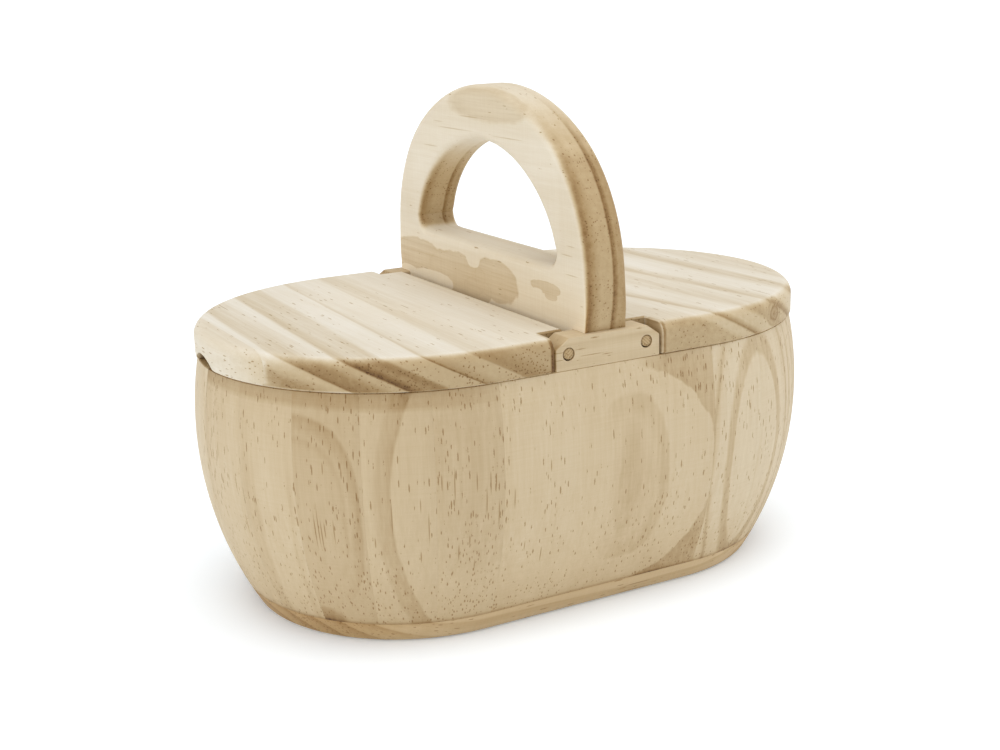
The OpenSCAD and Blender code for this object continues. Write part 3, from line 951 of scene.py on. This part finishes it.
def dowel_mesh(low, high, along, flutes):
    """A dowel with chamfered ends that fills a box. along is the index of its long axis."""
    second, third = (along + 1) % 3, (along + 2) % 3
    middle = (low + high) / 2
    radius = (high[second] - low[second]) / 2
    length = high[along] - low[along]
    facets = 48
    rings = []
    far_end = tuple((length - place, shrink) for place, shrink in reversed(DOWEL_ENDS))
    for place, shrink in DOWEL_ENDS + far_end:
        ring = []
        for i in range(facets):
            turn = 2 * math.pi * i / facets
            cut = FLUTE_DEPTH if flutes and i % 4 == 0 and shrink == 0.0 else 0.0
            r = radius - shrink - cut
            point = [0.0, 0.0, 0.0]
            point[along] = low[along] + place
            point[second] = middle[second] + r * math.cos(turn)
            point[third] = middle[third] + r * math.sin(turn)
            ring.append(tuple(point))
        rings.append(ring)
    return solid(rings)


def build_dowels():
    """Fluted dowels under the blocks and handle, and the smooth hinge pins."""
    upright = pine("beech_dowel", "Z", [], 2.2, level=0.6, fleck=0.6)
    rings = quiet_rings((0, 0, PIN_Z - 20), 1.1, (1, 0.02, 1))
    lying = pine("beech_pin", "Y", [rings], 6.1, level=0.55, fleck=0.9)
    for name, node in frame["nodes"].items():
        if not name.endswith(("_dowel", "_pin")):
            continue
        low, high = box_mm(name)
        pin = name.endswith("_pin")
        bm = dowel_mesh(low, high, 1 if pin else 2, flutes=not pin)
        material = lying if pin else upright
        finish_mesh(bm, name + "_turned", material, node["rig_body"], name)


# ---- Lids ----

def lid_profile():
    """Stations up a lid's rim: radius, height and how far its straight edges are eased."""
    stations = [
        (RIM_R - 2.0, RIM_Z, 1.2), (RIM_R - 0.35, RIM_Z, 0.4), (RIM_R + 0.1, RIM_Z + 0.2, 0.1),
        (LID_R - 0.2, RIM_Z + 0.9, 0.0), (LID_R, RIM_Z + 1.25, 0.0),
    ]
    for radius, z in arc(LID_R - LID_ROUND, LID_TOP - LID_ROUND, LID_ROUND, 0.0, 90.0, 9):
        stations.append((radius, z, max(0.0, z - (LID_TOP - 0.6))))
    stations.append((LID_R - LID_ROUND - 0.6, LID_TOP, 1.2))
    return stations


def lid_loop(radius, z, ease, groove):
    """Closed outline of the right lid, without its tip, at one height."""
    stop = math.degrees(math.acos((TIP_X - END_X) / radius))
    points = []
    for side in (-1, 1):
        half = [
            (LID_INNER_X + ease, NOTCH_Y - 12), (LID_INNER_X + ease, NOTCH_Y - ease),
            (NOTCH_X + ease, NOTCH_Y - ease), (NOTCH_X + ease, radius - 1.0),
            (NOTCH_X + ease + 0.5, radius),
        ]
        half += [(x, radius) for x in spread(NOTCH_X + 4.0, END_X, 5)]
        half += arc(END_X, 0, radius, 90.0, stop, 40)[1:]
        x, y = half[-1]
        half[-1] = (x, y - groove)
        part = [(px, side * py, z) for px, py in half]
        points += part if side < 0 else part[::-1]
    return points


def tip_loop(radius, z, ease, groove):
    """Closed outline of the right lid's tip at one height. It has no straight edges to ease."""
    stop = math.degrees(math.acos((TIP_X - END_X) / radius))
    points = [[x, y, z] for x, y in arc(END_X, 0, radius, -stop, stop, 48)]
    points[0][1] += groove
    points[-1][1] -= groove
    return points


def lid_solid(outline):
    """A lid's board or tip, from its outline at each station of the rim's profile."""
    return solid([outline(r, z, ease, GLUE_EDGE) for r, z, ease in lid_profile()])


def build_lids():
    """Each lid's board with its pin holes, and its tip with the finger scoop."""
    looks = (("left", -1, LEFT_LID, 0.46, 0.8), ("right", 1, RIGHT_LID, 0.3, 0.5))
    for seed, (hand, side, figures, end_dark, end_depth) in enumerate(looks):
        name = hand + "_lid"
        bm = lid_solid(lid_loop)
        length = NOTCH_Y - PIN_LOW.y + 2
        for turn in (-1, 1):
            centre = (PIN_X, turn * (NOTCH_Y + 2), PIN_Z)
            bm = drill(bm, centre, (0, -turn, 0), PIN_D + DOWEL_PLAY, length)
        # Paler than its wood for its lightness: partly painted light, as the lid faces the top light
        material = pine("pine_" + name, "Y", figures, 9.7 + 2 * seed, level=0.71, plain=0.04,
                        fleck=0.3, pale_wood_and_light=1.08, end_dark=end_dark, end_depth=end_depth)
        finish_mesh(bm, name, material, name, name, mirror=(side, 1))
        tip = lid_solid(tip_loop)
        centre = (LID_R + END_X - SCOOP_IN, SCOOP_Y, RIM_Z + SCOOP_TOP - SCOOP_R)
        tip = drill(tip, centre, (1, 0, 0), 2 * SCOOP_R, 30, 128)
        name += "_tip"
        rings = quiet_rings((side * 120, 0, 90), 6, (1, 0.01, 1), 0.1)
        # The tip is made paler too, partly as painted light from above
        material = pine("pine_" + name, "Y", [rings], 14.1 + seed, level=0.65, fleck=0.7,
                        pale_wood_and_light=1.05, end_dark=0.4)
        finish_mesh(tip, name, material, hand + "_lid", name, mirror=(side, 1))


# ---- Stage, light and camera ----

FLOOR_HALF = 60.0                   # in metres
HORIZON = (0.03, 0.12)              # heights of direction between which the world gets darker


def build_stage():
    """Pale floor, a world that is white at the horizon, and three large soft lights."""
    mesh = bpy.data.meshes.new("floor")
    corners = [(x * FLOOR_HALF, y * FLOOR_HALF, 0) for x, y in ((-1, -1), (1, -1), (1, 1), (-1, 1))]
    mesh.from_pydata(corners, [], [(0, 1, 2, 3)])
    floor = add_object("floor", mesh)
    material = bpy.data.materials.new("pale_floor")
    material.use_nodes = True
    shader = material.node_tree.nodes["Principled BSDF"]
    for setting, value in (
        ("Base Color", (0.93, 0.95, 0.97, 1)), ("Roughness", 0.9), ("Specular IOR Level", 0.1),
        ("Emission Color", (0.8, 0.96, 1.12, 1)), ("Emission Strength", 0.17),
    ):
        shader.inputs[setting].default_value = value
    mesh.materials.append(material)

    world = bpy.data.worlds.new("studio")
    world.use_nodes = True
    background = world.node_tree.nodes["Background"]
    background.inputs["Color"].default_value = (1, 1, 1, 1)
    w = Wiring(world.node_tree)
    direction = world.node_tree.nodes.new("ShaderNodeTexCoord").outputs["Generated"]
    height = w.vector("DOT_PRODUCT", direction, (0, 0, 1))
    w.link(w.step(height, *HORIZON, 1.05, 0.48), background.inputs["Strength"])
    bpy.context.scene.world = world
    add_light("top_light", 1.65, (0.03, 0.15, -1.0))
    add_light("left_light", 0.8, (1.0, 0.15, -0.25))
    add_light("right_light", 0.8, (-1.0, 0.15, -0.25))


def add_light(name, energy, direction):
    """One large soft light that shines along a direction."""
    light = bpy.data.lights.new(name, "SUN")
    light.energy = energy
    light.angle = math.radians(60)
    lamp = add_object(name, light)
    lamp.rotation_euler = Vector(direction).to_track_quat("-Z", "Y").to_euler()


def build_camera():
    """Camera at the reference view: 28 degrees left of the front, 15 degrees up."""
    azimuth, elevation, roll = (math.radians(a) for a in (-28.353, 15.015, -1.784))
    distance = 651.5
    target = Vector((-20.5, -30.6, 100.3))
    back = Vector((
        math.sin(azimuth) * math.cos(elevation),
        -math.cos(azimuth) * math.cos(elevation),
        math.sin(elevation),
    ))
    right = Vector((0, 0, 1)).cross(back).normalized()
    up = back.cross(right)
    turned_right = right * math.cos(roll) + up * math.sin(roll)
    turned_up = up * math.cos(roll) - right * math.sin(roll)
    camera = bpy.data.cameras.new("camera")
    camera.lens = 52.93
    camera.sensor_width = 36.0
    camera.shift_x = 0.0029
    camera.shift_y = -0.003
    camera.clip_start = 0.01
    camera.clip_end = 50.0
    holder = add_object("camera", camera)
    turn = Matrix((turned_right, turned_up, back)).transposed().to_4x4()
    holder.matrix_world = Matrix.Translation((target + back * distance) * MM) @ turn
    bpy.context.scene.camera = holder


build_camera()
build_stage()
build_tub()
build_blocks()
build_handle()
build_dowels()
build_lids()
bpy.context.scene.view_settings.view_transform = "Standard"
